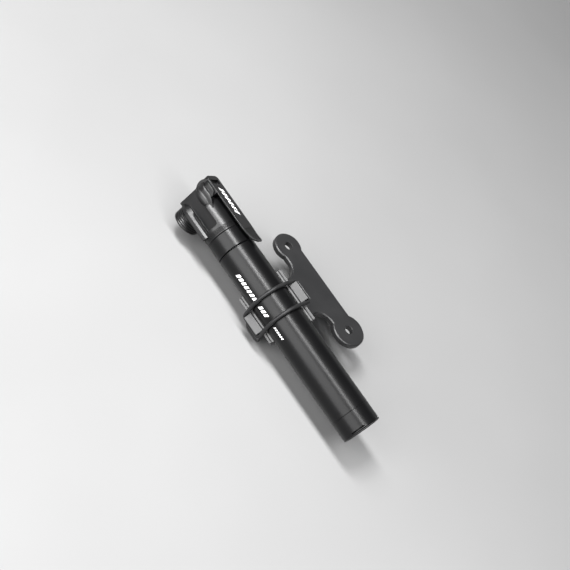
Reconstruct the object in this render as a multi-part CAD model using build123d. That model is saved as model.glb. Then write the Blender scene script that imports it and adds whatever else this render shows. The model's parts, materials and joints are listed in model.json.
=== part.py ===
from build123d import *
from math import acos, atan2, cos, hypot, radians, sin, tan
import os

# Telescoping mini pump clipped in its side bracket. Millimetres.
# Row frame: origin at the centre of the bracket's two bolt holes, on its underside; +Z out of the
# frame tube, +X along the pump from its head to its end cap, the pump on the -Y side.
# Pump frame: X along the pump's axis, 0 just ahead of its head; +Z towards the thumb lever,
# -Z towards the valve. PUMP_PLACE carries it into the row frame.

# ---- Driving dimensions -------------------------------------------------------------------------
PUMP_END = 175.0             # outer face of the end cap
HEAD_START = 2.4             # front of the head and of the lever
TUBE_R = 12.0                # outside radius of handle, collar and neck
PUMP_X = -88.5               # origin of the pump frame in the row frame
PUMP_Y = -40.0               # pump axis, beside the bolt line
PUMP_Z = 4.0
PUMP_ROLL = -22.0            # turn of the pump about its axis; the lever leans towards the bolts
BOLT_SPACING = 64.0          # standard bottle-cage bosses
BOLT_HOLE_R = 2.75           # M5 clearance
CRADLE_ANGLE = 45.0          # the cradle opens this far above -Y

# Stations along the pump axis
NECK_END = 33.0              # head body ends, locking ring starts
RING_END = 36.5              # locking ring ends, barrel collar starts
SEAM = 47.8                  # middle of the seam between barrel collar and handle
SEAM_GAP = 0.4
CAP_START = 163.0            # handle tube ends, end cap starts
STROKE = 85.0                # travel of the barrel out of the handle

# Handle, barrel and rod
HANDLE_IN_R = 10.8
BARREL_OUT_R = 8.5
BARREL_IN_R = 7.5
ROD_R = 4.0
ROD_NOSE_R = 2.95
RUN = 0.05                   # radial running clearance of sliding and turning fits
BARREL_START = 29.8
BARREL_END = 146.0
BUSH_END = 150.5
GUIDE_END = 57.0
PISTON_START = 33.3
PISTON_END = 39.8

# Head and valve
VALVE_X = 13.7               # axis of the valve port
CHAMBER_R = 6.0
SHELF_START = 4.5
SHELF_TOP = -3.6
SHELF_BOTTOM = -8.4
SHELF_HALF_W = 12.0
SHELF_SLOPE_DROP = 2.6       # height and width of the flange's sloping rim
SHELF_SLOPE_W = 1.9
SLAB_START = 4.2
WAIST_HALF_W = 9.2           # at the top of the side recess; the waist narrows downwards
WAIST_SLOPE = 5.0
SPIGOT_R = 7.3
SPIGOT_END = -13.0
COLLAR_R = 8.9
COLLAR_TOP = -8.6
COLLAR_END = -17.2
VALVE_R = 3.05               # relaxed bore of the grommet, for a 6 mm valve stem

# Lever, pin and pressure plate
PIN_X = 9.8
PIN_Z = 8.2
PIN_R = 1.5
SLOT_HALF_W = 6.75           # gap between the head's two cheeks
LEVER_HALF_W = 6.5
LEVER_TOP = 15.0
BLADE_T = 1.6
LIP_T = 0.8                  # thin edge round the blade, over its narrower underside
LEVER_TIP = 52.5
CAM_R = 6.2                  # round hub, set off from the pin so that it pushes as it turns
CAM_OFFSET = 1.2             # along -X and along +Z
CAM_LIFT = 2 * CAM_OFFSET    # travel of the plunger over a quarter turn
PLATE_TOP = PIN_Z + CAM_OFFSET - CAM_R - 0.1
PLATE_T = 2.0

# Bracket
CRADLE_X = 0.7               # middle of the ears and the strap
LINER_IN_R = TUBE_R + 0.2
LINER_OUT_R = 13.1
RIM_GROOVE_R = 13.6          # groove between the liner and the cradle's two rims
RIM_GROOVE_DEPTH = 1.0
CRADLE_OUT_R = 15.0
PLATE_THICK = 3.5
EAR_HALF_W = 6.15
EAR_NECK = 16.6
EAR_REACH = 18.7
STRAP_R = 1.2
BAND_X = 7.55                # the strap's two bands, each side of the ears
TAB_X = 2.6                  # the strap's pull tab, off the middle

PUMP_PLACE = Pos(PUMP_X, PUMP_Y, PUMP_Z) * Rot(PUMP_ROLL, 0, 0)
# Cradle frame: X along the pump, +Z out of the cradle's mouth, +Y towards the bolts' side ear.
CRADLE_PLACE = Pos(0, PUMP_Y, PUMP_Z) * Rot(CRADLE_ANGLE, 0, 0)


# ---- Helpers ------------------------------------------------------------------------------------
def rod_x(x0, x1, r):
    """Round bar along the pump axis."""
    return Pos((x0 + x1) / 2, 0, 0) * Rot(0, 90, 0) * Cylinder(r, x1 - x0)


def tube_x(x0, x1, r_out, r_in):
    """Round tube along the pump axis."""
    return rod_x(x0, x1, r_out) - rod_x(x0 - 1, x1 + 1, r_in)


def o_ring_x(x, r_in, r_out):
    """O-ring round the pump axis, between two radii."""
    section = (r_out - r_in) / 2
    return Pos(x, 0, 0) * Rot(0, 90, 0) * Torus((r_in + r_out) / 2, section)


def rod_z(z0, z1, r, x=VALVE_X):
    """Round bar along the valve axis."""
    return Pos(x, 0, (z0 + z1) / 2) * Cylinder(r, z1 - z0)


def tube_z(z0, z1, r_out, r_in):
    """Round tube along the valve axis."""
    return rod_z(z0, z1, r_out) - rod_z(z0 - 1, z1 + 1, r_in)


def block(x0, x1, half_y, z0, z1):
    """Box that is symmetric about the pump's lever plane."""
    return Pos((x0 + x1) / 2, 0, (z0 + z1) / 2) * Box(x1 - x0, 2 * half_y, z1 - z0)


def plan(outline, z0, z1):
    """Outline in X and Y raised from z0 to z1."""
    return extrude(Pos(0, 0, z0) * outline, z1 - z0)


def turned(points):
    """Solid turned about the pump axis from an outline of (x, radius)."""
    return revolve(make_face(Polyline(*points, close=True)), Axis.X)


# ---- Handle and the parts fixed in it -----------------------------------------------------------
def handle_tube():
    start = SEAM + SEAM_GAP / 2
    edge = 0.35
    return turned([
        (start, HANDLE_IN_R), (start, TUBE_R - edge), (start + edge, TUBE_R),
        (CAP_START - 0.15, TUBE_R), (CAP_START, TUBE_R - 0.15), (CAP_START, HANDLE_IN_R),
    ])


WIPER_X0 = 50.0
WIPER_X1 = 52.0
WIPER_OUT_R = 9.6


def handle_guide():
    bush = tube_x(SEAM + 0.6, GUIDE_END, HANDLE_IN_R, BARREL_OUT_R + RUN)
    return bush - tube_x(WIPER_X0, WIPER_X1, WIPER_OUT_R, BARREL_OUT_R - 1)


def wiper_ring():
    return tube_x(WIPER_X0, WIPER_X1, WIPER_OUT_R, BARREL_OUT_R + RUN)


CAP_SPIGOT_START = 156.0
CAP_SLOT_X = 173.7
CAP_SEAL_X = 159.5
CAP_SEAL_IN_R = 9.2
ROD_END = 170.0


def end_cap():
    rim = 0.5
    sleeve = turned([
        (CAP_START, 0), (CAP_START, TUBE_R - 0.15), (CAP_START + 0.15, TUBE_R),
        (PUMP_END - rim, TUBE_R), (PUMP_END, TUBE_R - rim), (PUMP_END, TUBE_R - 1.4),
        (PUMP_END - 0.4, TUBE_R - 1.8), (PUMP_END - 0.4, 0),
    ])
    cap = sleeve + rod_x(CAP_SPIGOT_START, CAP_START, HANDLE_IN_R)
    cap -= tube_x(CAP_SPIGOT_START - 1, CAP_SLOT_X, 9.0, 6.5)
    cap -= rod_x(CAP_SPIGOT_START - 1, ROD_END, ROD_R)
    cap -= tube_x(CAP_SEAL_X - 0.9, CAP_SEAL_X + 0.9, HANDLE_IN_R + 1, CAP_SEAL_IN_R)
    slot_w = 0.7
    far = 2 * TUBE_R
    half = far * tan(radians(22))
    wedge = extrude(Plane.YZ * make_face(Polyline((0, 0), (far, -half), (far, half), close=True)), 2)
    ring = tube_x(CAP_SLOT_X - slot_w / 2, CAP_SLOT_X + slot_w / 2, TUBE_R + 1, 8.0)
    for turn in (74, 164, 254, 344):
        cap -= ring & Pos(CAP_SLOT_X - 1, 0, 0) * Rot(turn, 0, 0) * wedge
    return cap


def end_cap_seal():
    return o_ring_x(CAP_SEAL_X, CAP_SEAL_IN_R, HANDLE_IN_R)


SCREW_R = 1.5
SCREW_END = PISTON_END + 6.5


def piston_rod():
    rod = rod_x(PISTON_END + 0.1, ROD_END, ROD_R)
    rod += rod_x(PISTON_START - 0.1, PISTON_END + 1, ROD_NOSE_R)
    rod -= rod_x(PISTON_START - 1, SCREW_END, SCREW_R)
    return rod - rod_x(SCREW_END + 4, ROD_END + 1, 2.4)


def piston_screw():
    head_t = 1.8
    head = rod_x(PISTON_START - 0.1 - head_t, PISTON_START - 0.1, 3.75)
    head = chamfer(head.edges().sort_by(Axis.X)[0], 0.5)
    return head + rod_x(PISTON_START - 0.5, SCREW_END, SCREW_R)


def rod_lock_nut():
    nut = extrude(Plane.YZ * RegularPolygon(6.5, 6, major_radius=False), 3.6)
    nut = Pos(CAP_SPIGOT_START - 3.6, 0, 0) * nut
    return nut - rod_x(CAP_SPIGOT_START - 5, CAP_SPIGOT_START + 1, ROD_R)


# ---- Piston, free to turn on the rod's nose -----------------------------------------------------
PISTON_SEAL_X = 36.6
PISTON_SEAL_R = 0.9


def piston():
    body = tube_x(PISTON_START, PISTON_END, BARREL_IN_R - 0.08, ROD_NOSE_R + RUN)
    groove = PISTON_SEAL_R + 0.15
    return body - tube_x(
        PISTON_SEAL_X - groove, PISTON_SEAL_X + groove, BARREL_IN_R + 1,
        BARREL_IN_R - RUN - 2 * PISTON_SEAL_R,
    )


def piston_seal():
    outer = BARREL_IN_R - RUN
    return o_ring_x(PISTON_SEAL_X, outer - 2 * PISTON_SEAL_R, outer)


# ---- Barrel -------------------------------------------------------------------------------------
BUSH_SEAL_X = 148.3
BUSH_SEAL_R = 0.85
ROD_SEAL_X = 142.5
ROD_SEAL_R = 0.75


def barrel_tube():
    return tube_x(BARREL_START, BARREL_END, BARREL_OUT_R, BARREL_IN_R)


def barrel_bush():
    bush = rod_x(BARREL_END, BUSH_END, HANDLE_IN_R - 0.08)
    bush += rod_x(BARREL_END - 7, BARREL_END + 1, BARREL_IN_R)
    bush -= rod_x(BARREL_END - 8, BUSH_END + 1, ROD_R + RUN)
    bush -= tube_x(
        BUSH_SEAL_X - BUSH_SEAL_R - 0.15, BUSH_SEAL_X + BUSH_SEAL_R + 0.15, HANDLE_IN_R + 1,
        HANDLE_IN_R - RUN - 2 * BUSH_SEAL_R,
    )
    return bush - tube_x(
        ROD_SEAL_X - ROD_SEAL_R - 0.15, ROD_SEAL_X + ROD_SEAL_R + 0.15,
        ROD_R + RUN + 2 * ROD_SEAL_R, ROD_R - 1,
    )


def barrel_bush_seal():
    outer = HANDLE_IN_R - RUN
    return o_ring_x(BUSH_SEAL_X, outer - 2 * BUSH_SEAL_R, outer)


def rod_seal():
    inner = ROD_R + RUN
    return o_ring_x(ROD_SEAL_X, inner, inner + 2 * ROD_SEAL_R)


def barrel_collar():
    end = SEAM - SEAM_GAP / 2
    edge = 0.3
    return turned([
        (RING_END, BARREL_OUT_R), (RING_END, TUBE_R - edge), (RING_END + edge, TUBE_R),
        (end - edge, TUBE_R), (end, TUBE_R - edge), (end, BARREL_OUT_R),
    ])


def locking_ring():
    """Ring with three fine grooves round its rim."""
    outer = TUBE_R - 0.1
    depth = 0.3
    half = 0.18
    rim = [(NECK_END, outer)]
    for groove_x in (NECK_END + 0.7, NECK_END + 1.5, NECK_END + 2.3):
        rim += [(groove_x - half, outer), (groove_x, outer - depth), (groove_x + half, outer)]
    rim += [(RING_END - 0.35, outer), (RING_END, outer - 0.5)]
    return turned([(NECK_END, BARREL_OUT_R)] + rim + [(RING_END, BARREL_OUT_R)])


# ---- Head ---------------------------------------------------------------------------------------
SEAT_X0 = 27.2
SEAT_X1 = 29.0
SEAT_R = 6.4
BALL_BORE_R = 3.1
BALL_BORE_START = 20.7
PLATE_X0 = 5.4
PLATE_X1 = 17.6
PANEL_TOP = 5.2              # top of the recess in each side
SHOULDER_TOP = 11.3
SHOULDER_HALF_W = 9.2
SHOULDER_ROUND = 1.8
BULGE_R = 3.0                # swelling along the side of each shoulder
BULGE_Y = 7.3
BULGE_Z = 5.7
RIDGE_TOP = 14.1
RIDGE_HALF_W = 7.7
SHOULDER_BOTTOM = 4.2


def head_shelf():
    """Flange above the valve port, with a large round end and a sloping rim."""
    outline = Pos((SHELF_START + NECK_END) / 2, 0) * Rectangle(NECK_END - SHELF_START, 2 * SHELF_HALF_W)
    front = outline.vertices().sort_by(Axis.X)[:2]
    shelf = plan(fillet(front, 10.5), SHELF_BOTTOM, SHELF_TOP)
    rim = shelf.edges().group_by(Axis.Z)[-1].filter_by(lambda edge: edge.center().X < NECK_END - 0.1)
    top = shelf.faces().sort_by(Axis.Z)[-1]
    return chamfer(rim, SHELF_SLOPE_W, SHELF_SLOPE_DROP, reference=top)


def waist():
    """Both leaning sides of the head between the shelf and the shoulders, cut off square."""
    top = WAIST_HALF_W + (6 - PANEL_TOP) * tan(radians(WAIST_SLOPE))
    low = WAIST_HALF_W - (PANEL_TOP - SHELF_BOTTOM) * tan(radians(WAIST_SLOPE))
    section = Polyline((-low, SHELF_BOTTOM), (low, SHELF_BOTTOM), (top, 6), (-top, 6), close=True)
    return extrude(Plane.YZ * make_face(section), NECK_END)


def head_slab():
    """Narrow waist between the shelf and the shoulders, round at the head end."""
    outline = Pos((SLAB_START + NECK_END) / 2, 0) * Rectangle(NECK_END - SLAB_START, 2 * TUBE_R)
    front = outline.vertices().sort_by(Axis.X)[:2]
    return waist() & plan(fillet(front, 6.5), SHELF_BOTTOM, 6)


def head_neck():
    """Round neck, cut back to the waist on both sides."""
    neck = rod_x(13.0, NECK_END, TUBE_R)
    neck = fillet(neck.edges().sort_by(Axis.X)[0], 6.0)
    middle = (SHELF_TOP + PANEL_TOP) / 2
    pocket = Pos(18.5, 0, middle) * Box(24.5, 40, PANEL_TOP - SHELF_TOP)
    pocket = fillet(pocket.edges().filter_by(Axis.Y).group_by(Axis.Z)[-1].sort_by(Axis.X)[-1], 2)
    pocket -= waist()
    under = Pos(14, 0, SHELF_BOTTOM - 5) * Box(24, 40, 10)
    return neck - pocket - under


def head_plan(half_w):
    """Top view of the shoulders, round at the head end."""
    outline = Pos(HEAD_START + 12.5, 0) * Rectangle(25, 2 * half_w)
    return plan(fillet(outline.vertices().sort_by(Axis.X)[:2], half_w * 0.78), -20, 30)


def head_shoulders():
    """Rounded shoulders beside the lever, falling away into the neck."""
    low = SHOULDER_BOTTOM
    end = 23
    brow = 2.5
    front = Line((HEAD_START, low + 3), (HEAD_START, SHOULDER_TOP - brow))
    arch = TangentArc(
        (HEAD_START, SHOULDER_TOP - brow), (HEAD_START + brow, SHOULDER_TOP), tangent=(0, 1),
    )
    top = Line((HEAD_START + brow, SHOULDER_TOP), (10.5, SHOULDER_TOP))
    fall = ThreePointArc((10.5, SHOULDER_TOP), (17, 9.9), (end, 6.3))
    under = Line((end, 6.3), (end, low)) + Line((end, low), (HEAD_START + 3, low))
    nose = TangentArc((HEAD_START + 3, low), (HEAD_START, low + 3), tangent=(-1, 0))
    side = extrude(Plane.XZ * make_face(front + arch + top + fall + under + nose), 15, both=True)
    height = 20
    section = Pos(0, SHOULDER_TOP - height / 2) * Rectangle(2 * SHOULDER_HALF_W, height)
    section = fillet(section.vertices().group_by(Axis.Y)[-1], SHOULDER_ROUND)
    section = extrude(Plane.YZ * section, 30)
    return side & section & head_plan(SHOULDER_HALF_W)


def shoulder_bulges():
    """Swelling along the side of each shoulder, widest in its middle and fading at both ends."""
    arc = ThreePointArc((1.7, 0), (12.2, BULGE_R), (22.7, 0))
    spindle = revolve(make_face(arc + Line((22.7, 0), (1.7, 0))), Axis.X)
    bulges = Pos(0, -BULGE_Y, BULGE_Z) * spindle + Pos(0, BULGE_Y, BULGE_Z) * spindle
    return bulges & Pos(0.8, 0, 0) * head_plan(BULGE_Y + BULGE_R + 0.3)


def head_ridges():
    """Low ridges next to the lever's root."""
    back = Line((15, 9), (HEAD_START, 9)) + Line((HEAD_START, 9), (HEAD_START, RIDGE_TOP))
    top = Line((HEAD_START, RIDGE_TOP), (11.5, RIDGE_TOP))
    fall = ThreePointArc((11.5, RIDGE_TOP), (14.3, 12.5), (15, 9))
    side = extrude(Plane.XZ * make_face(back + top + fall), RIDGE_HALF_W, both=True)
    ridge = side & head_plan(RIDGE_HALF_W)
    rim = ridge.edges().group_by(Axis.Z)[-1].sort_by(Axis.X)[:-1]
    return fillet(rim, 0.6)


def head_body():
    body = head_neck() + head_slab() + head_shelf() + head_shoulders() + shoulder_bulges()
    body += head_ridges()
    body += rod_z(SPIGOT_END, SHELF_BOTTOM + 1, SPIGOT_R)
    # Slot for the lever, open at the head end, and the space that the pressure plate moves in.
    body -= block(-2, PIN_X + 5.5, SLOT_HALF_W, 0.65, 20)
    body -= block(13.0, 24, SLOT_HALF_W, TUBE_R + 0.1, 20)
    body -= block(PLATE_X0 - 0.2, PLATE_X1 + 0.4, SLOT_HALF_W, -1.5, PLATE_TOP + 0.3)
    # Valve chamber, its air inlet, the check valve's bore and the barrel's socket.
    body -= rod_z(SPIGOT_END - 1, -1.4, CHAMBER_R)
    body -= rod_x(BALL_BORE_START, NECK_END + 1, BALL_BORE_R)
    body -= rod_z(-7.8, 0, 1.0, x=22.0)
    body -= Pos(20, 0, -7.0) * Rot(0, 90, 0) * Cylinder(0.8, 5)
    body -= rod_x(SEAT_X0, NECK_END + 1, SEAT_R)
    body -= rod_x(SEAT_X1, NECK_END + 1, BARREL_OUT_R)
    # Pin hole, drilled from the +Y side.
    pin_hole = Pos(PIN_X, 5, PIN_Z) * Rot(90, 0, 0) * Cylinder(PIN_R, 27)
    return body - pin_hole


def lever_pin():
    return Pos(PIN_X, 0.4, PIN_Z) * Rot(90, 0, 0) * Cylinder(PIN_R, 17.6)


def barrel_seal():
    return tube_x(SEAT_X1, BARREL_START, BARREL_OUT_R, 6.0)


BALL_R = 2.5
SEAT_HOLE_R = 1.6
BALL_X = SEAT_X0 - (BALL_R ** 2 - SEAT_HOLE_R ** 2) ** 0.5 - 0.03


def valve_seat():
    seat = tube_x(SEAT_X0, SEAT_X1, SEAT_R, SEAT_HOLE_R)
    return seat - Pos(SEAT_X1 - 0.5, 0, 0) * Rot(0, 90, 0) * Cone(SEAT_HOLE_R, 3.0, 1.0)


def check_ball():
    return Pos(BALL_X, 0, 0) * Sphere(BALL_R)


def check_spring():
    """Light coil between the bore's end and the ball."""
    wire_r = 0.17
    coil_r = SEAT_HOLE_R
    path = Helix(pitch=0.72, height=2.1, radius=coil_r)
    coil = sweep(Plane(path @ 0, z_dir=path % 0) * Circle(wire_r), path)
    return Pos(BALL_BORE_START + wire_r + 0.05, 0, 0) * Rot(0, 90, 0) * coil


def valve_grommet():
    return tube_z(-14.6, -8.3, CHAMBER_R - 0.1, VALVE_R)


def grommet_washer():
    return tube_z(-15.2, -14.65, CHAMBER_R - 0.1, VALVE_R + 0.25)


def valve_collar():
    """Ribbed screw collar that holds the grommet in."""
    pitch = 1.4
    rib = 0.45
    rim = [(COLLAR_TOP, COLLAR_R - 0.3), (COLLAR_TOP - 0.3, COLLAR_R)]
    for count in range(5):
        z = COLLAR_TOP - 1.0 - pitch * count
        rim += [(z, COLLAR_R), (z - 0.1, COLLAR_R - rib), (z - 0.35, COLLAR_R - rib), (z - 0.85, COLLAR_R)]
    rim += [(COLLAR_END + 1.1, COLLAR_R), (COLLAR_END + 0.3, COLLAR_R - 0.35)]
    rim += [(COLLAR_END, COLLAR_R - 1.2)]
    lip = -15.3
    inside = [(COLLAR_END, 4.6), (lip, 4.6), (lip, SPIGOT_R + RUN), (COLLAR_TOP, SPIGOT_R + RUN)]
    outline = [(r, z) for z, r in rim + inside]
    face = make_face(Polyline(*outline, close=True))
    return Pos(VALVE_X, 0, 0) * revolve(Plane.XZ * face, Axis.Z)


# ---- Plunger that squeezes the grommet ----------------------------------------------------------
PLUNGER_SEAL_Z = -3.3
PLUNGER_SEAL_R = 0.8
PLUNGER_TOP = -1.6
PLUNGER_BOTTOM = -5.0


def plunger():
    body = rod_z(PLUNGER_BOTTOM, PLUNGER_TOP, CHAMBER_R - 0.08)
    body += rod_z(-8.2, PLUNGER_BOTTOM + 1, 4.0) + rod_z(PLUNGER_TOP - 1, PLATE_TOP - PLATE_T, 3.5)
    body -= rod_z(-9, -4, 2.4)
    body -= Pos(VALVE_X, 0, -6.6) * Rot(0, 90, 0) * Cylinder(0.7, 20)
    outer = CHAMBER_R - RUN
    gap = PLUNGER_SEAL_R + 0.12
    return body - tube_z(
        PLUNGER_SEAL_Z - gap, PLUNGER_SEAL_Z + gap, CHAMBER_R + 1, outer - 2 * PLUNGER_SEAL_R,
    )


def plunger_seal():
    major = CHAMBER_R - RUN - PLUNGER_SEAL_R
    return Pos(VALVE_X, 0, PLUNGER_SEAL_Z) * Torus(major, PLUNGER_SEAL_R)


def pressure_plate():
    width = 2 * (SLOT_HALF_W - 0.2)
    outline = Pos((PLATE_X0 + PLATE_X1) / 2, 0) * RectangleRounded(PLATE_X1 - PLATE_X0, width, 1.2)
    return plan(outline, PLATE_TOP - PLATE_T, PLATE_TOP)


# ---- Thumb lever --------------------------------------------------------------------------------
FLARE_START = 43.0
FLARE_RISE = 1.3


def lever_band(z0, z1, x0=HEAD_START):
    """Side view of a layer of the blade, straight and then curving up towards its tip."""
    top = Line((x0, z1), (FLARE_START, z1))
    top_arc = TangentArc((FLARE_START, z1), (LEVER_TIP, z1 + FLARE_RISE), tangent=(1, 0))
    low = Line((x0, z0), (FLARE_START, z0))
    low_arc = TangentArc((FLARE_START, z0), (LEVER_TIP, z0 + FLARE_RISE), tangent=(1, 0))
    tip = Line((LEVER_TIP, z1 + FLARE_RISE), (LEVER_TIP, z0 + FLARE_RISE))
    butt = Line((x0, z1), (x0, z0))
    face = make_face(top + top_arc + low + low_arc + tip + butt)
    return extrude(Plane.XZ * face, LEVER_HALF_W + 1, both=True)


def lever_plan(inset):
    """Top view of the blade: parallel, narrowing over its last centimetre to a round tip."""
    half = LEVER_HALF_W - inset
    tip_half = 4.4 - inset
    end = LEVER_TIP - inset
    outline = make_face(Polyline(
        (HEAD_START, -half), (42, -half), (end, -tip_half), (end, tip_half), (42, half),
        (HEAD_START, half), close=True,
    ))
    outline = fillet(outline.vertices().group_by(Axis.X)[0], 2.6)
    outline = fillet(outline.vertices().group_by(Axis.X)[-1], 3.3 - inset)
    outline = fillet(outline.vertices().filter_by_position(Axis.X, 41.9, 42.1), 12)
    return plan(outline, -5, 30)


def thumb_lever():
    hub = Pos(PIN_X - CAM_OFFSET, 0, PIN_Z + CAM_OFFSET) * Rot(90, 0, 0) * Cylinder(CAM_R, 2 * LEVER_HALF_W)
    hub -= block(-5, 20, 10, LEVER_TOP - 1, LEVER_TOP + 5)
    hub_end = PIN_X - CAM_OFFSET + CAM_R
    lip = lever_band(LEVER_TOP - LIP_T, LEVER_TOP) & lever_plan(0)
    lever = fillet(lip.edges().filter_by(Axis.Z, reverse=True), 0.35)
    root = block(HEAD_START, hub_end, LEVER_HALF_W, PIN_Z + CAM_OFFSET, LEVER_TOP - LIP_T / 2)
    lever += root & lever_plan(0)
    lever += lever_band(LEVER_TOP - BLADE_T, LEVER_TOP - LIP_T / 2) & lever_plan(1.6)
    lever += hub
    lever -= block(5.6, 8.9, 4.9, LEVER_TOP - 1.8, LEVER_TOP + 1)
    lever -= thumb_pad_space()
    return lever - Pos(PIN_X, 0, PIN_Z) * Rot(90, 0, 0) * Cylinder(PIN_R + RUN, 30)


PAD_X0 = 41.5
PAD_INSET = 1.3
PAD_DEPTH = 0.6


def thumb_pad_space():
    return lever_band(LEVER_TOP - PAD_DEPTH, LEVER_TOP + 1, PAD_X0) & lever_plan(PAD_INSET)


def lever_pad():
    return lever_band(LEVER_TOP - PAD_DEPTH, LEVER_TOP - 0.2, PAD_X0) & lever_plan(PAD_INSET)


# ---- Bracket ------------------------------------------------------------------------------------
def cradle_half(r_out, r_in):
    """Half pipe below the cradle's rim plane, longer at its upper rim than at its lower one."""
    outline = make_face(Polyline((-16.3, -16), (15.4, -16), (19.0, 16), (-17.0, 16), close=True))
    return tube_x(-30, 30, r_out, r_in) & plan(outline, -20, 0)


def cradle_ear(side):
    """Spool that the strap hooks round, at one rim of the cradle."""
    inner = RIM_GROOVE_R
    neck = Pos(0, side * (inner + EAR_NECK) / 2, -2.6) * Box(2 * EAR_HALF_W, EAR_NECK - inner, 4.4)
    top = Pos(0, side * (inner + EAR_REACH) / 2, 0.45) * Box(2 * EAR_HALF_W, EAR_REACH - inner, 1.7)
    top = fillet(top.edges().filter_by(Axis.X).group_by(Axis.Z)[-1], 0.4)
    foot = EAR_REACH + 0.9 if side > 0 else EAR_NECK + 0.6
    low = Pos(0, side * (inner + foot) / 2, -4.6) * Box(2 * EAR_HALF_W + 0.4, foot - inner, 1.0)
    return Pos(CRADLE_X, 0, 0) * (neck + top + low)


def base_plate():
    """Plate under the bottle cage, with round ends about both bolt holes and a flared arm."""
    half = BOLT_SPACING / 2
    outline = Rectangle(BOLT_SPACING, 15) + Pos(-half, 0) * Circle(9.5) + Pos(half, 0) * Circle(11)
    outline += Pos(0, -17) * Rectangle(26, 22)
    corners = outline.vertices().filter_by_position(Axis.Y, -7.6, -7.4)
    corners = [v for v in corners if abs(v.X) < 14]
    outline = fillet(corners, 10)
    plate = plan(outline, 0, PLATE_THICK)
    plate = chamfer(plate.faces().sort_by(Axis.Z)[-1].edges(), 0.6)
    for x in (-half, half):
        plate -= Pos(x, 0, PLATE_THICK / 2) * Cylinder(BOLT_HOLE_R, 2 * PLATE_THICK)
    return plate


def bracket_arm():
    """Web from the base plate to the back of the cradle."""
    side = make_face(Polyline(
        (-12, 0), (-12, PLATE_THICK), (-22, PLATE_THICK), (-26, 9.5), (-36, 9.5), (-36, -10.5),
        (-31, -10.5), (-19, 0),
        close=True,
    ))
    side = fillet(side.vertices().filter_by_position(Axis.X, -22.1, -18.9), 5)
    return extrude(Plane.YZ * side, 13, both=True)


def mount_bracket():
    bracket = base_plate() + bracket_arm()
    bracket -= CRADLE_PLACE * rod_x(-60, 60, LINER_OUT_R)
    bracket += CRADLE_PLACE * cradle_half(CRADLE_OUT_R, LINER_OUT_R)
    groove = tube_x(-30, 30, RIM_GROOVE_R, LINER_OUT_R - 1) & Box(60, 60, 2 * RIM_GROOVE_DEPTH)
    bracket -= CRADLE_PLACE * groove
    for side in (-1, 1):
        bracket += CRADLE_PLACE * cradle_ear(side)
    return bracket


def cradle_liner():
    return cradle_half(LINER_OUT_R, LINER_IN_R)


def strap():
    """Rubber ring: two bands over the pump, hooked under both ears, with a pull tab on one."""
    hook_y = EAR_NECK + STRAP_R + 0.2
    hook_z = -2.1
    arch_r = TUBE_R + 0.35 + STRAP_R
    # Where the straight run from the hook touches the arch over the pump.
    touch_angle = atan2(hook_z, hook_y) + acos(arch_r / hypot(hook_y, hook_z))
    touch = (arch_r * cos(touch_angle), arch_r * sin(touch_angle))
    left = (-touch[0], touch[1])
    run = Line((hook_y, hook_z), touch)
    path = run + ThreePointArc(touch, (0, arch_r), left) + Line(left, (-hook_y, hook_z))
    ring = Part()
    for x in (-BAND_X, BAND_X):
        line = Pos(x, 0, 0) * (Plane.YZ * path)
        ring += sweep(Plane(line @ 0, z_dir=line % 0) * Circle(STRAP_R), line)
    for side in (-1, 1):
        ring += Pos(0, side * hook_y, hook_z) * Rot(0, 90, 0) * Cylinder(STRAP_R, 2 * BAND_X)
        for x in (-BAND_X, BAND_X):
            ring += Pos(x, side * hook_y, hook_z) * Sphere(STRAP_R)
    tab = Box(12.4, 2.4, 10.8)
    tab = fillet(tab.edges().filter_by(Axis.Y).group_by(Axis.Z)[0], 5)
    ring += Pos(TAB_X, -19.6, -7.3) * Rot(-12, 0, 0) * tab
    return Pos(CRADLE_X, 0, 0) * ring


# ---- Parts --------------------------------------------------------------------------------------
PUMP_PARTS = [
    handle_tube, handle_guide, wiper_ring, end_cap, end_cap_seal, piston_rod, piston_screw,
    rod_lock_nut, piston, piston_seal, barrel_tube, barrel_bush, barrel_bush_seal, rod_seal,
    barrel_collar, locking_ring, head_body, lever_pin, barrel_seal, valve_seat, check_ball,
    check_spring, valve_grommet, grommet_washer, valve_collar, plunger, plunger_seal,
    pressure_plate, thumb_lever, lever_pad,
]
CRADLE_PARTS = [cradle_liner, strap]
ROW_PARTS = [mount_bracket]

os.makedirs("parts", exist_ok=True)
placed = ((PUMP_PLACE, PUMP_PARTS), (CRADLE_PLACE, CRADLE_PARTS), (Pos(0, 0, 0), ROW_PARTS))
for place, makers in placed:
    for make in makers:
        export_step(place * make(), "parts/" + make.__name__ + ".step")
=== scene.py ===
import json
from math import acos, atan2, cos, hypot, pi, radians, sin, tan

import bmesh
import bpy
from mathutils import Matrix, Vector


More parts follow.
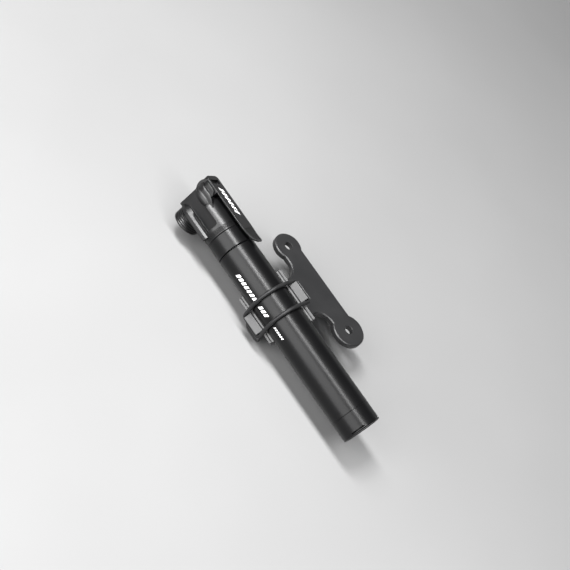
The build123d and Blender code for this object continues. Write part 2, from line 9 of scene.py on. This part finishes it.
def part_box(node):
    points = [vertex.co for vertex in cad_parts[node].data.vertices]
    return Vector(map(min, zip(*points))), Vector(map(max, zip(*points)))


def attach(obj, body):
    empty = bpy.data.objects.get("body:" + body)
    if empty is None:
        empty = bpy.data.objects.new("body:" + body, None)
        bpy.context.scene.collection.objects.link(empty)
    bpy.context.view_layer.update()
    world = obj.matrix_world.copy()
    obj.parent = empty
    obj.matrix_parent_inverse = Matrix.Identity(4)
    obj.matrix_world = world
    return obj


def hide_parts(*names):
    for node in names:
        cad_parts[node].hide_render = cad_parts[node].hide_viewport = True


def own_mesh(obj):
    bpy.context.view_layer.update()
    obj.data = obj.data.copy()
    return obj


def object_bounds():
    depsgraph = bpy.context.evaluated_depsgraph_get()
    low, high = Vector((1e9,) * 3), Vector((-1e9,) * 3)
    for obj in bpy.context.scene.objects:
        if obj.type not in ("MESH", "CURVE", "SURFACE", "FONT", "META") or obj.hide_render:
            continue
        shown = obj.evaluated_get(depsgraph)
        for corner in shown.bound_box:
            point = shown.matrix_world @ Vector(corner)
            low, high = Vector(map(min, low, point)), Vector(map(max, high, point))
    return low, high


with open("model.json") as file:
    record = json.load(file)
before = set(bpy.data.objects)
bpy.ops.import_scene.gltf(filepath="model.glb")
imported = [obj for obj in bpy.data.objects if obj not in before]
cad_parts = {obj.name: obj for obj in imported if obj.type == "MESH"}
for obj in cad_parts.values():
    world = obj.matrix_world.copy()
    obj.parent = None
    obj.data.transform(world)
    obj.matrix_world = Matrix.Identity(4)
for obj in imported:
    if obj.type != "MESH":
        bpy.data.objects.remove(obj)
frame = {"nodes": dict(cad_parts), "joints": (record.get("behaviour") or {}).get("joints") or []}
cad_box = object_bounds()

MM = 0.001
nodes = frame["nodes"]
joints = {joint["name"]: joint for joint in frame["joints"]}


# ---- Places, from the frame ---------------------------------------------------------------------
def place(x, up):
    """Frame with its origin on the pump's axis at x, X along the pump and Z along up."""
    up = Vector(up).normalized()
    along = Vector((1, 0, 0))
    across = up.cross(along)
    turn = Matrix((along, across, up)).transposed().to_4x4()
    return Matrix.Translation((x, AXIS.y, AXIS.z)) @ turn


CAP_FACE = 175 * MM                  # from the pump frame's origin
AXIS = Vector(joints["head_twist"]["pos_m"])
LIFT = Vector(joints["pump_lift"]["axis"])
VALVE = Vector(joints["plunger_press"]["axis"])
TUBE_R = (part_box("handle_tube")[1].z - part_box("handle_tube")[0].z) / 2
PUMP = place(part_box("end_cap")[1].x - CAP_FACE, -VALVE)
CRADLE = place(0, LIFT)


# ---- Camera -------------------------------------------------------------------------------------
CAMERA_AIM = Vector((-7.3, -32.5, 13.4)) * MM
CAMERA_DISTANCE = 581.5 * MM
CAMERA_AZIMUTH = radians(15.7)       # round from -Y towards +X
CAMERA_ELEVATION = radians(43.7)
CAMERA_ROLL = radians(43.7)
CAMERA_LENS = 63.16


def add_camera():
    """Camera above the pump's side, rolled so that the pump runs down to the right."""
    data = bpy.data.cameras.new("camera")
    data.lens = CAMERA_LENS
    data.sensor_width = 36
    data.clip_start = 0.01
    camera = bpy.data.objects.new("camera", data)
    bpy.context.scene.collection.objects.link(camera)
    flat = cos(CAMERA_ELEVATION)
    back = Vector((sin(CAMERA_AZIMUTH) * flat, -cos(CAMERA_AZIMUTH) * flat, sin(CAMERA_ELEVATION)))
    turn = back.to_track_quat("Z", "Y").to_matrix().to_4x4() @ Matrix.Rotation(CAMERA_ROLL, 4, "Z")
    camera.matrix_world = Matrix.Translation(CAMERA_AIM + CAMERA_DISTANCE * back) @ turn
    bpy.context.scene.camera = camera


# ---- Floor and light ----------------------------------------------------------------------------
FLOOR_DROP = 1.5 * MM
FLOOR_SIZE = 8.0


def add_floor():
    """Pale floor just below the lowest point of the pump and its bracket."""
    bpy.ops.mesh.primitive_plane_add(size=FLOOR_SIZE, location=(0, 0, cad_box[0].z - FLOOR_DROP))
    floor = bpy.context.object
    floor.name = "floor"
    floor.data.materials.append(floor_paint())


def add_softbox(name, angle, shift, distance, size, power):
    """Area light over the pump's axis. angle is measured from +Y over the top towards -Y."""
    data = bpy.data.lights.new(name, "AREA")
    data.shape = "RECTANGLE"
    data.size, data.size_y = size
    data.energy = power
    light = bpy.data.objects.new(name, data)
    bpy.context.scene.collection.objects.link(light)
    back = Vector((shift, cos(radians(angle)), sin(radians(angle)))).normalized()
    across = back.cross(Vector((1, 0, 0))).normalized()
    along = across.cross(back)
    turn = Matrix((along, across, back)).transposed().to_4x4()
    light.matrix_world = Matrix.Translation(AXIS + distance * back) @ turn


def add_world():
    world = bpy.data.worlds.new("studio")
    world.use_nodes = True
    background = world.node_tree.nodes["Background"]
    background.inputs["Color"].default_value = (0.95, 0.97, 1.0, 1)
    background.inputs["Strength"].default_value = 0.09
    bpy.context.scene.world = world


# ---- Material helpers ---------------------------------------------------------------------------
MIX_FIRST, MIX_SECOND, MIX_RESULT = 6, 7, 2     # colour sockets of a Mix node, whose names repeat


def new_material(name, color, roughness, metallic=0.0, specular=0.5):
    """Material with one principled shader. color is grey, or red, green and blue."""
    material = bpy.data.materials.new(name)
    material.use_nodes = True
    shader = material.node_tree.nodes["Principled BSDF"]
    shader.inputs["Base Color"].default_value = rgba(color)
    shader.inputs["Roughness"].default_value = roughness
    shader.inputs["Metallic"].default_value = metallic
    shader.inputs["Specular IOR Level"].default_value = specular
    return material, material.node_tree, shader


def rgba(color):
    return (color, color, color, 1) if isinstance(color, float) else (*color, 1)


def coordinates(tree, stretch=(1, 1, 1)):
    """Object coordinates in metres, stretched along the row's axes."""
    source = tree.nodes.new("ShaderNodeTexCoord")
    mapping = tree.nodes.new("ShaderNodeMapping")
    mapping.inputs["Scale"].default_value = stretch
    tree.links.new(source.outputs["Object"], mapping.inputs["Vector"])
    return mapping.outputs["Vector"]


def noise(tree, size, detail=2.0, stretch=(1, 1, 1), rough=0.5):
    """Noise with features of about the given size in metres."""
    texture = tree.nodes.new("ShaderNodeTexNoise")
    texture.inputs["Scale"].default_value = 1 / size
    texture.inputs["Detail"].default_value = detail
    texture.inputs["Roughness"].default_value = rough
    tree.links.new(coordinates(tree, stretch), texture.inputs["Vector"])
    return texture.outputs["Fac"]


def spread(tree, factor, low, high, start=0.3, end=0.7):
    """Ramp from low to high as factor goes from start to end."""
    ramp = tree.nodes.new("ShaderNodeValToRGB")
    ramp.color_ramp.elements[0].position = start
    ramp.color_ramp.elements[1].position = end
    ramp.color_ramp.elements[0].color = rgba(low)
    ramp.color_ramp.elements[1].color = rgba(high)
    tree.links.new(factor, ramp.inputs["Fac"])
    return ramp.outputs["Color"]


def relief(tree, shader, height, depth, strength=1.0):
    """Bump of the given depth in metres, added over any earlier one."""
    bump = tree.nodes.new("ShaderNodeBump")
    bump.inputs["Distance"].default_value = depth
    bump.inputs["Strength"].default_value = strength
    tree.links.new(height, bump.inputs["Height"])
    if shader.inputs["Normal"].is_linked:
        tree.links.new(shader.inputs["Normal"].links[0].from_socket, bump.inputs["Normal"])
    tree.links.new(bump.outputs["Normal"], shader.inputs["Normal"])


def soft_edges(tree, shader, color, radius, wear_and_edge_highlight):
    """Edges that shade as if rounded to the given radius, with a lighter colour than the colour
    link painted on them: partly edge wear, partly a painted edge highlight.
    """
    bevel = tree.nodes.new("ShaderNodeBevel")
    bevel.samples = 6
    bevel.inputs["Radius"].default_value = radius
    tree.links.new(bevel.outputs["Normal"], shader.inputs["Normal"])
    geometry = tree.nodes.new("ShaderNodeNewGeometry")
    match = tree.nodes.new("ShaderNodeVectorMath")
    match.operation = "DOT_PRODUCT"
    tree.links.new(bevel.outputs["Normal"], match.inputs[0])
    tree.links.new(geometry.outputs["Normal"], match.inputs[1])
    # Painted edge highlight: a lighter colour is mixed in where the rounded normal turns away from
    # the face, partly standing for edge wear.
    mix = tree.nodes.new("ShaderNodeMix")
    mix.data_type = "RGBA"
    mix.inputs[MIX_SECOND].default_value = rgba(wear_and_edge_highlight)
    edge = spread(tree, match.outputs["Value"], 1.0, 0.0, 0.75, 0.97)
    tree.links.new(edge, mix.inputs["Factor"])
    tree.links.new(color, mix.inputs[MIX_FIRST])
    tree.links.new(mix.outputs[MIX_RESULT], shader.inputs["Base Color"])


# ---- Materials ----------------------------------------------------------------------------------
def floor_paint():
    material, tree, shader = new_material("floor_paint", 0.21, 0.65, specular=0.2)
    shade = spread(tree, noise(tree, 0.25, 3.0), 0.20, 0.22)
    tree.links.new(shade, shader.inputs["Base Color"])
    return material


def anodised_alloy():
    """Black anodised aluminium with a bead-blasted grain."""
    material, tree, shader = new_material("anodised_alloy", 0.003, 0.3, specular=0.165)
    grain = noise(tree, 0.16 * MM, 2.0)
    cloud = noise(tree, 7 * MM, 3.0, stretch=(0.4, 1, 1))
    shade = spread(tree, grain, (0.0020, 0.0020, 0.0021), (0.0036, 0.0036, 0.0038))
    # Lighter edge colour: painted edge highlight, partly edge wear.
    soft_edges(tree, shader, shade, 0.15 * MM, 0.010)
    tree.links.new(spread(tree, cloud, 0.28, 0.34), shader.inputs["Roughness"])
    relief(tree, shader, grain, 0.006 * MM, 0.6)
    return material


def bare_alloy():
    """Drawn aluminium, with fine lines along the tube."""
    material, tree, shader = new_material("bare_alloy", (0.42, 0.43, 0.44), 0.26, metallic=1.0)
    lines = noise(tree, 0.2 * MM, 2.0, stretch=(0.01, 1, 1))
    shade = spread(tree, lines, (0.36, 0.37, 0.38), (0.50, 0.51, 0.52))
    tree.links.new(shade, shader.inputs["Base Color"])
    tree.links.new(spread(tree, noise(tree, 12 * MM, 3.0), 0.22, 0.32), shader.inputs["Roughness"])
    relief(tree, shader, lines, 0.003 * MM, 0.5)
    return material


def head_plastic():
    """Satin moulded engineering plastic."""
    material, tree, shader = new_material("head_plastic", 0.004, 0.34, specular=0.26)
    grain = noise(tree, 0.30 * MM, 2.0)
    cloud = noise(tree, 9 * MM, 3.0)
    shade = spread(tree, cloud, (0.0026, 0.0026, 0.0028), (0.0044, 0.0044, 0.0046))
    # Lighter edge colour: painted edge highlight, partly edge wear.
    soft_edges(tree, shader, shade, 0.45 * MM, 0.008)
    tree.links.new(spread(tree, cloud, 0.30, 0.38), shader.inputs["Roughness"])
    relief(tree, shader, grain, 0.008 * MM, 0.5)
    return material


def bracket_plastic():
    """Glass-filled nylon with a fine moulded grain."""
    material, tree, shader = new_material("bracket_plastic", 0.012, 0.42, specular=0.6)
    grain = noise(tree, 0.35 * MM, 3.0)
    cloud = noise(tree, 11 * MM, 3.0)
    shade = spread(tree, grain, (0.007, 0.007, 0.0073), (0.013, 0.013, 0.0136))
    # Lighter edge colour: painted edge highlight, partly edge wear.
    soft_edges(tree, shader, shade, 0.45 * MM, 0.018)
    tree.links.new(spread(tree, cloud, 0.38, 0.47), shader.inputs["Roughness"])
    relief(tree, shader, grain, 0.02 * MM, 0.7)
    return material


def soft_rubber():
    """Matt dark grey moulded rubber."""
    material, tree, shader = new_material("soft_rubber", 0.008, 0.5, specular=0.26)
    grain = noise(tree, 0.22 * MM, 2.0)
    cloud = noise(tree, 6 * MM, 4.0)
    shade = spread(tree, cloud, (0.007, 0.007, 0.0073), (0.012, 0.012, 0.0125))
    tree.links.new(shade, shader.inputs["Base Color"])
    tree.links.new(spread(tree, cloud, 0.44, 0.56), shader.inputs["Roughness"])
    relief(tree, shader, grain, 0.008 * MM, 0.5)
    return material


def liner_rubber():
    """Smooth moulded rubber, with more sheen than the strap."""
    material, tree, shader = new_material("liner_rubber", 0.010, 0.36, specular=0.7)
    cloud = noise(tree, 5 * MM, 3.0)
    tree.links.new(spread(tree, cloud, 0.008, 0.013), shader.inputs["Base Color"])
    tree.links.new(spread(tree, cloud, 0.32, 0.42), shader.inputs["Roughness"])
    relief(tree, shader, noise(tree, 0.3 * MM, 2.0), 0.006 * MM, 0.4)
    return material


def pad_rubber():
    """Black rubber set in the lever."""
    material, tree, shader = new_material("pad_rubber", 0.004, 0.6, specular=0.25)
    grain = noise(tree, 0.25 * MM, 2.0)
    tree.links.new(spread(tree, grain, 0.0030, 0.0055), shader.inputs["Base Color"])
    tree.links.new(spread(tree, noise(tree, 3 * MM, 3.0), 0.54, 0.66), shader.inputs["Roughness"])
    relief(tree, shader, grain, 0.012 * MM, 0.5)
    return material


def seal_rubber():
    """Greased black nitrile."""
    material, tree, shader = new_material("seal_rubber", 0.012, 0.3, specular=0.5)
    film = noise(tree, 1.5 * MM, 3.0)
    tree.links.new(spread(tree, film, 0.009, 0.016), shader.inputs["Base Color"])
    tree.links.new(spread(tree, film, 0.18, 0.42), shader.inputs["Roughness"])
    relief(tree, shader, film, 0.01 * MM, 0.4)
    return material


def turned_steel():
    """Steel with fine rings left by turning."""
    material, tree, shader = new_material("turned_steel", (0.52, 0.52, 0.53), 0.28, metallic=1.0)
    rings = noise(tree, 0.15 * MM, 1.0, stretch=(1, 0.05, 0.05))
    shade = spread(tree, rings, (0.44, 0.44, 0.45), (0.60, 0.60, 0.61))
    tree.links.new(shade, shader.inputs["Base Color"])
    tree.links.new(spread(tree, noise(tree, 4 * MM, 3.0), 0.20, 0.36), shader.inputs["Roughness"])
    relief(tree, shader, rings, 0.003 * MM, 0.5)
    return material


def bearing_plastic():
    """Dark acetal, slightly waxy."""
    material, tree, shader = new_material("bearing_plastic", 0.06, 0.35, specular=0.5)
    cloud = noise(tree, 5 * MM, 3.0)
    tree.links.new(spread(tree, cloud, 0.050, 0.070), shader.inputs["Base Color"])
    tree.links.new(spread(tree, cloud, 0.30, 0.42), shader.inputs["Roughness"])
    relief(tree, shader, noise(tree, 0.4 * MM, 2.0), 0.006 * MM, 0.4)
    return material


def white_print():
    """White pad print, a little thin in places."""
    material, tree, shader = new_material("white_print", 0.9, 0.5, specular=0.3)
    patch = noise(tree, 0.5 * MM, 4.0, rough=0.7)
    tree.links.new(spread(tree, patch, 0.70, 0.92, 0.25, 0.5), shader.inputs["Base Color"])
    tree.links.new(spread(tree, patch, 0.45, 0.6), shader.inputs["Roughness"])
    return material


FINISHES = {
    anodised_alloy: ["handle_tube", "barrel_collar", "end_cap"],
    bare_alloy: ["barrel_tube"],
    head_plastic: ["head_body", "thumb_lever", "valve_collar", "locking_ring"],
    bracket_plastic: ["mount_bracket"],
    soft_rubber: ["strap", "valve_grommet"],
    liner_rubber: ["cradle_liner"],
    pad_rubber: ["lever_pad"],
    seal_rubber: ["wiper_ring", "end_cap_seal", "piston_seal", "barrel_bush_seal", "rod_seal",
                  "barrel_seal", "plunger_seal"],
    turned_steel: ["piston_rod", "piston_screw", "rod_lock_nut", "lever_pin", "check_ball",
                   "check_spring", "pressure_plate"],
    bearing_plastic: ["handle_guide", "piston", "barrel_bush", "valve_seat", "grommet_washer",
                      "plunger"],
}


def finish_nodes():
    """Gives every CAD node its material."""
    made = {}
    for make, names in FINISHES.items():
        material = make()
        made[make] = material
        for name in names:
            mesh = nodes[name].data
            mesh.materials.clear()
            mesh.materials.append(material)
    return made


# ---- Mesh helpers -------------------------------------------------------------------------------
def new_piece(name, mesh, material, body):
    """Shown piece with one material, on a body of the frame."""
    piece = bpy.data.objects.new(name, mesh)
    bpy.context.scene.collection.objects.link(piece)
    mesh.materials.append(material)
    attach(piece, body)
    return piece


def rounded_loop(corners, radii, step):
    """Points along a closed loop of straight runs, with an arc of its own radius at each corner."""
    points = []
    count = len(corners)
    for index, corner in enumerate(corners):
        before = (corners[index - 1] - corner).normalized()
        after = (corners[(index + 1) % count] - corner).normalized()
        half = before.angle(after) / 2
        radius = radii[index]
        centre = corner + (before + after).normalized() * radius / sin(half)
        start = corner + before * radius / tan(half) - centre
        end = corner + after * radius / tan(half) - centre
        turn = start.angle(end)
        pieces = max(4, round(radius * turn / step))
        for piece in range(pieces + 1):
            t = piece / pieces
            arm = (start * sin((1 - t) * turn) + end * sin(t * turn)) / sin(turn)
            points.append(centre + arm)
    return points


def tube_mesh(bm, points, radius, sides):
    """Closed tube along a closed loop of points."""
    count = len(points)
    side = Vector((1, 0, 0))
    rings = []
    for index, point in enumerate(points):
        along = (points[(index + 1) % count] - points[index - 1]).normalized()
        side = (side - along * side.dot(along)).normalized()
        up = along.cross(side)
        turns = [2 * pi * k / sides for k in range(sides)]
        rings.append([bm.verts.new(point + radius * (cos(a) * side + sin(a) * up)) for a in turns])
    last = len(rings) - 1
    for index in range(last):
        join_rings(bm, rings[index], rings[index + 1], 0)
    offset = min(range(sides), key=lambda k: (rings[0][k].co - rings[last][0].co).length)
    join_rings(bm, rings[last], rings[0], offset)


def join_rings(bm, first, second, offset):
    """Faces between two rings of points, with the second ring turned by offset points."""
    sides = len(first)
    for k in range(sides):
        after = (k + 1) % sides
        bm.faces.new((
            first[k], first[after], second[(after + offset) % sides], second[(k + offset) % sides],
        ))


def plate_mesh(bm, outline, thickness, to_place):
    """Plate with the given outline, as (x, z) points, centred on y = 0."""
    half = thickness / 2
    front = [bm.verts.new(to_place @ Vector((x, -half, z))) for x, z in outline]
    back = [bm.verts.new(to_place @ Vector((x, half, z))) for x, z in outline]
    bm.faces.new(front)
    bm.faces.new(list(reversed(back)))
    count = len(outline)
    for k in range(count):
        after = (k + 1) % count
        bm.faces.new((front[k], back[k], back[after], front[after]))


def remeshed(piece, voxel, smoothing):
    """Fuses the mesh's closed shells into one and softens where they meet."""
    fuse = piece.modifiers.new("fuse", "REMESH")
    fuse.mode = "VOXEL"
    fuse.voxel_size = voxel
    soften = piece.modifiers.new("soften", "SMOOTH")
    soften.factor = 0.5
    soften.iterations = smoothing
    depsgraph = bpy.context.evaluated_depsgraph_get()
    mesh = bpy.data.meshes.new_from_object(piece.evaluated_get(depsgraph))
    piece.modifiers.clear()
    piece.data = mesh
    for polygon in mesh.polygons:
        polygon.use_smooth = True


# ---- Strap --------------------------------------------------------------------------------------
STRAP_X = 0.7 * MM                   # middle of the ears
BAND_X = 7.55 * MM
BAND_R = 1.2 * MM
HOOK_Y = 18.0 * MM
HOOK_Z = -2.1 * MM
BAND_GAP = 0.35 * MM
TAB_HALF_W = 6.1 * MM
TAB_LENGTH = 10.8 * MM
TAB_THICK = 2.2 * MM
TAB_CENTRE = Vector((2.6, -19.6, -7.3)) * MM
TAB_LEAN = radians(-12)
TAB_CORNER = 5.4 * MM
RIB_COUNT = 4                        # ribs across both faces of the tab
RIB_PITCH = 1.7 * MM
RIB_HALF = 0.38 * MM
RIB_RISE = 0.45 * MM                 # above each face
RIB_FIRST = 2.6 * MM                 # from the tab's top edge to the first rib
RIB_MARGIN = 1.2 * MM                # from a rib's end to the tab's side
LAST_RIB_TRIM = 0.9 * MM             # the last rib is shorter, for the tab's round end
STRAP_VOXEL = 0.2 * MM
SIDES_ROUND = 24
ARC_STEPS = 8                        # in a quarter turn of the tab's corner


def strap_loop():
    """Centre line of the rubber ring, over the pump twice and under both ears."""
    arch_r = TUBE_R + BAND_GAP + BAND_R
    touch = atan2(HOOK_Z, HOOK_Y) + acos(arch_r / hypot(HOOK_Y, HOOK_Z))
    apex = arch_r / sin(touch)
    corners = [
        Vector((x, y, z))
        for x, side in ((-BAND_X, 1), (BAND_X, -1))
        for y, z in ((-side * HOOK_Y, HOOK_Z), (0, apex), (side * HOOK_Y, HOOK_Z))
    ]
    radii = [1.6 * MM, arch_r, 1.6 * MM] * 2
    return rounded_loop(corners, radii, 0.5 * MM)


def tab_outline():
    """Pull tab, square above and half round below."""
    top = TAB_LENGTH / 2
    round_y = TAB_CORNER - top
    round_x = TAB_HALF_W - TAB_CORNER
    points = [(TAB_HALF_W, top), (-TAB_HALF_W, top)]
    for centre_x, start in ((-round_x, pi), (round_x, 1.5 * pi)):
        for k in range(ARC_STEPS + 1):
            a = start + k * pi / (2 * ARC_STEPS)
            points.append((centre_x + TAB_CORNER * cos(a), round_y + TAB_CORNER * sin(a)))
    return points


def tab_rib(index):
    """Outline of one rib across the tab, counted from the top."""
    z = TAB_LENGTH / 2 - RIB_FIRST - index * RIB_PITCH
    reach = TAB_HALF_W - RIB_MARGIN
    if index == RIB_COUNT - 1:
        reach -= LAST_RIB_TRIM
    low, high = z - RIB_HALF, z + RIB_HALF
    return [(-reach, low), (reach, low), (reach, high), (-reach, high)]


def add_strap(material):
    """Rubber ring with its pull tab, fused and softened where they meet."""
    bm = bmesh.new()
    tube_mesh(bm, strap_loop(), BAND_R, SIDES_ROUND)
    tab_place = Matrix.Translation(TAB_CENTRE) @ Matrix.Rotation(TAB_LEAN, 4, "X")
    plate_mesh(bm, tab_outline(), TAB_THICK, tab_place)
    for index in range(RIB_COUNT):
        plate_mesh(bm, tab_rib(index), TAB_THICK + 2 * RIB_RISE, tab_place)
    bmesh.ops.recalc_face_normals(bm, faces=bm.faces)
    mesh = bpy.data.meshes.new("strap_ring")
    bm.to_mesh(mesh)
    bm.free()
    mesh.transform(CRADLE @ Matrix.Translation((STRAP_X, 0, 0)))
    piece = bpy.data.objects.new("strap_ring", mesh)
    bpy.context.scene.collection.objects.link(piece)
    remeshed(piece, STRAP_VOXEL, smoothing=4)
    piece.data.materials.clear()
    piece.data.materials.append(material)
    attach(piece, "bracket")
    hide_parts("strap")
    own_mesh(piece)


def add_soft_copy(name, node, material, body):
    """Stands for a CAD node: a copy of its mesh with its own material, on the given body, with the
    node hidden.
    """
    source = nodes[node]
    mesh = source.data.copy()
    mesh.transform(source.matrix_world)
    mesh.materials.clear()
    piece = new_piece(name, mesh, material, body)
    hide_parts(node)
    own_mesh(piece)


def add_soft_inside(spring_material, grommet_material):
    """The check ball's spring, and the grommet that the plunger squeezes."""
    add_soft_copy(
        "spring_coil", "check_spring", spring_material, "barrel",
    )
    add_soft_copy(
        "grommet_sleeve", "valve_grommet", grommet_material, "barrel",
    )


# ---- Printed marks ------------------------------------------------------------------------------
PRINT_THICK = 0.03 * MM
BAR_LEAN = 0.28                      # half the sideways shift of a bar, as a share of its height
BAR_CUTS = 6                         # steps up a bar, so that it bends round the handle
HANDLE_BAR_H = 2.6 * MM
SMALL_BAR_H = 1.3 * MM
LEVER_BAR_H = 3.6 * MM


def bar_rows(start, count, pitch, width, height):
    """Slanted bars in a row, as corners (s, t) along and across the row."""
    lean = BAR_LEAN * height
    bars = []
    for k in range(count):
        s = start + k * pitch
        bars.append([(s - lean, -height / 2), (s + width - lean, -height / 2),
                     (s + width + lean, height / 2), (s + lean, height / 2)])
    return bars


def print_mesh(name, bars, to_surface):
    """Thin solid patches; to_surface takes s, t and a height above the surface."""
    bm = bmesh.new()
    for bar in bars:
        low, high = [], []
        for k in range(BAR_CUTS + 1):
            t = k / BAR_CUTS
            for a, b in ((bar[0], bar[3]), (bar[1], bar[2])):
                s = a[0] + (b[0] - a[0]) * t
                across = a[1] + (b[1] - a[1]) * t
                low.append(bm.verts.new(to_surface(s, across, -PRINT_THICK)))
                high.append(bm.verts.new(to_surface(s, across, PRINT_THICK)))
        for k in range(BAR_CUTS):
            i = 2 * k
            bm.faces.new((high[i], high[i + 1], high[i + 3], high[i + 2]))
            bm.faces.new((low[i], low[i + 2], low[i + 3], low[i + 1]))
            bm.faces.new((low[i], high[i], high[i + 2], low[i + 2]))
            bm.faces.new((low[i + 1], low[i + 3], high[i + 3], high[i + 1]))
        end = 2 * BAR_CUTS
        bm.faces.new((low[0], low[1], high[1], high[0]))
        bm.faces.new((low[end], high[end], high[end + 1], low[end + 1]))
    bmesh.ops.recalc_face_normals(bm, faces=bm.faces)
    mesh = bpy.data.meshes.new(name)
    bm.to_mesh(mesh)
    bm.free()
    return mesh


HANDLE_MARK_ANGLE = radians(193)     # round the pump from its +Y side over the lever


def on_handle(s, t, lift):
    """Point on the handle; t runs upwards, towards the lever."""
    angle = HANDLE_MARK_ANGLE - t / TUBE_R
    radius = TUBE_R + lift
    return PUMP @ Vector((s, radius * cos(angle), radius * sin(angle)))


LEVER_TOP = 15.0 * MM


def on_lever(s, t, lift):
    """Point on the lever's flat outer face; t runs away from the -Y edge."""
    return PUMP @ Vector((s, t, LEVER_TOP + lift))


def add_marks(material):
    """Plain slanted bars where the pump carries its printed marks."""
    handle = bar_rows(62 * MM, 7, 2.75 * MM, 1.75 * MM, HANDLE_BAR_H)
    handle += bar_rows(84.8 * MM, 3, 2.7 * MM, 1.7 * MM, HANDLE_BAR_H)
    handle += bar_rows(99.6 * MM, 6, 1.5 * MM, 0.85 * MM, SMALL_BAR_H)
    mesh = print_mesh("handle_marks", handle, on_handle)
    new_piece("handle_marks", mesh, material, "handle")
    lever = bar_rows(12.5 * MM, 6, 3.3 * MM, 1.9 * MM, LEVER_BAR_H)
    mesh = print_mesh("lever_marks", lever, on_lever)
    new_piece("lever_marks", mesh, material, "lever")


# ---- Scene --------------------------------------------------------------------------------------
def build():
    bpy.context.scene.view_settings.view_transform = "Standard"
    add_camera()
    add_world()
    add_floor()
    add_softbox("key", angle=106.5, shift=0, distance=0.9, size=(1.6, 0.13), power=22.0)
    add_softbox("key_head", angle=106.5, shift=-0.37, distance=0.95, size=(0.3, 0.13), power=11.0)
    add_softbox("front", angle=152, shift=-0.14, distance=1.3, size=(0.9, 1.2), power=28.0)
    add_softbox("front_head", angle=152, shift=-0.42, distance=1.3, size=(0.5, 1.2), power=6.5)
    add_softbox("back", angle=13, shift=0, distance=1.3, size=(1.6, 0.3), power=1.5)
    made = finish_nodes()
    add_strap(made[soft_rubber])
    add_soft_inside(made[turned_steel], made[soft_rubber])
    add_marks(white_print())


build()
